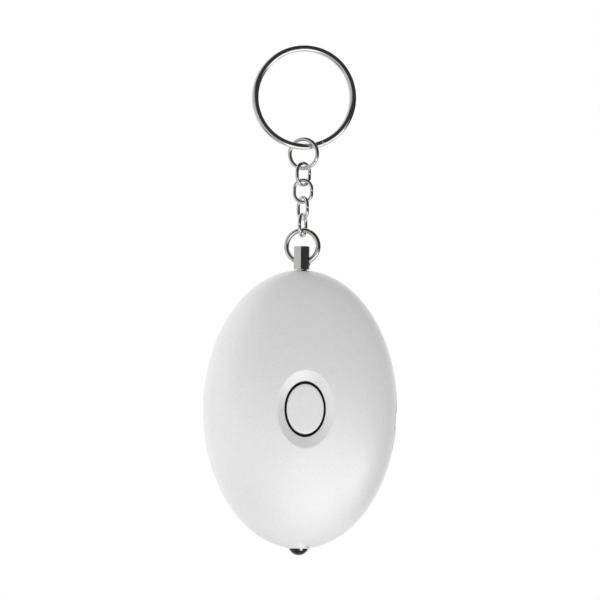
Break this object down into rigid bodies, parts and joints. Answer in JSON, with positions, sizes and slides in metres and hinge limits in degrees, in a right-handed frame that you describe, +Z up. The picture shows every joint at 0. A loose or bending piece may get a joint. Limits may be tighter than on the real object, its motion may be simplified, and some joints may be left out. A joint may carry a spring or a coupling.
{
  "type": "personal safety alarm",
  "caption": "Oval hand-held safety alarm with a sprung lamp button and domed end lamp, hung by a plug-in pull pin from a short wire chain and a split key ring.",
  "frame": {"origin": "inside top of the split key ring, the point it hangs from", "axes": "+Z up along the hanging chain, the case's front with the button faces -Y, +X to the right seen from the front"},
  "size_m": [0.0466, 0.0216, 0.1219],
  "materials": {
    "chrome": "bright nickel-chrome plating",
    "shell_paint": "satin silver paint on moulded plastic",
    "button_paint": "satin silver paint on moulded plastic",
    "steel": "plated steel",
    "cell_can": "nickel-plated can",
    "board": "green solder mask",
    "black_plastic": "black moulded plastic",
    "ferrite": "bare ferrite",
    "copper_wire": "enamelled copper wire",
    "chip_body": "ceramic chip body",
    "brass": "rolled brass sheet",
    "ceramic": "silvered ceramic",
    "lens": "clear dark-looking epoxy",
    "wire_skin": "red wire insulation"
  },
  "bodies": {
    "key_ring": {"split_ring": "chrome"},
    "upper_ring": {"upper_ring": "chrome"},
    "link_1": {"chain_link_1": "chrome"},
    "link_2": {"chain_link_2": "chrome"},
    "link_3": {"chain_link_3": "chrome"},
    "link_4": {"chain_link_4": "chrome"},
    "lower_ring": {"lower_ring": "chrome"},
    "pull_pin": {"pull_pin": "chrome"},
    "case": {"front_shell": "shell_paint", "rear_shell": "shell_paint", "case_screws": "steel", "circuit_board": "board", "switch_base": "black_plastic", "boost_core": "ferrite", "boost_winding": "copper_wire", "driver_chip": "black_plastic", "transistor": "black_plastic", "chip_parts": "chip_body", "pin_socket": "black_plastic", "socket_contacts": "brass", "led_lens": "lens", "led_leads": "steel", "battery_cell_1": "cell_can", "battery_cell_2": "cell_can", "battery_cell_3": "cell_can", "battery_plate": "steel", "battery_spring_plate": "steel", "battery_spring": "steel", "piezo_plate": "brass", "piezo_ceramic": "ceramic", "piezo_wires": "wire_skin"},
    "button": {"light_button": "button_paint"},
    "plunger": {"switch_plunger": "black_plastic"}
  },
  "joints": [
    {"name": "upper_ring_swing", "type": "hinge", "parent": "key_ring", "child": "upper_ring", "pos_m": [0, 0, -0.02275], "axis": [1, 0, 0], "range_deg": [-40, 40]},
    {"name": "link_1_swing", "type": "hinge", "parent": "upper_ring", "child": "link_1", "pos_m": [0, 0, -0.02795], "axis": [-0.8829, 0.4695, 0], "range_deg": [-60, 60]},
    {"name": "link_2_swing", "type": "hinge", "parent": "link_1", "child": "link_2", "pos_m": [0, 0, -0.03194], "axis": [-0.788, -0.6157, 0], "range_deg": [-40, 40]},
    {"name": "link_3_swing", "type": "hinge", "parent": "link_2", "child": "link_3", "pos_m": [0, 0, -0.036], "axis": [0.9703, -0.2419, 0], "range_deg": [-40, 40]},
    {"name": "link_4_swing", "type": "hinge", "parent": "link_3", "child": "link_4", "pos_m": [0, 0, -0.04006], "axis": [-0.4067, 0.9135, 0], "range_deg": [-40, 40]},
    {"name": "lower_ring_swing", "type": "hinge", "parent": "link_4", "child": "lower_ring", "pos_m": [0, 0, -0.04412], "axis": [-0.4695, -0.8829, 0], "range_deg": [-60, 60]},
    {"name": "pin_swing", "type": "hinge", "parent": "lower_ring", "child": "pull_pin", "pos_m": [0, 0, -0.05016], "axis": [0.9613, -0.2756, 0], "range_deg": [-70, 70]},
    {"name": "pin_pull", "type": "slide", "parent": "pull_pin", "child": "case", "axis": [0, 0, -1], "range_m": [0, 0.0125]},
    {"name": "button_press", "type": "slide", "parent": "case", "child": "button", "axis": [0, 1, 0], "range_m": [0, 0.0006], "stiffness_N_per_m": 1000},
    {"name": "plunger_press", "type": "slide", "parent": "case", "child": "plunger", "axis": [0, 1, 0], "range_m": [0, 0.0006]}
  ],
  "couplings": [
    {"joint": "plunger_press", "follows": "button_press", "ratio": 1}
  ]
}
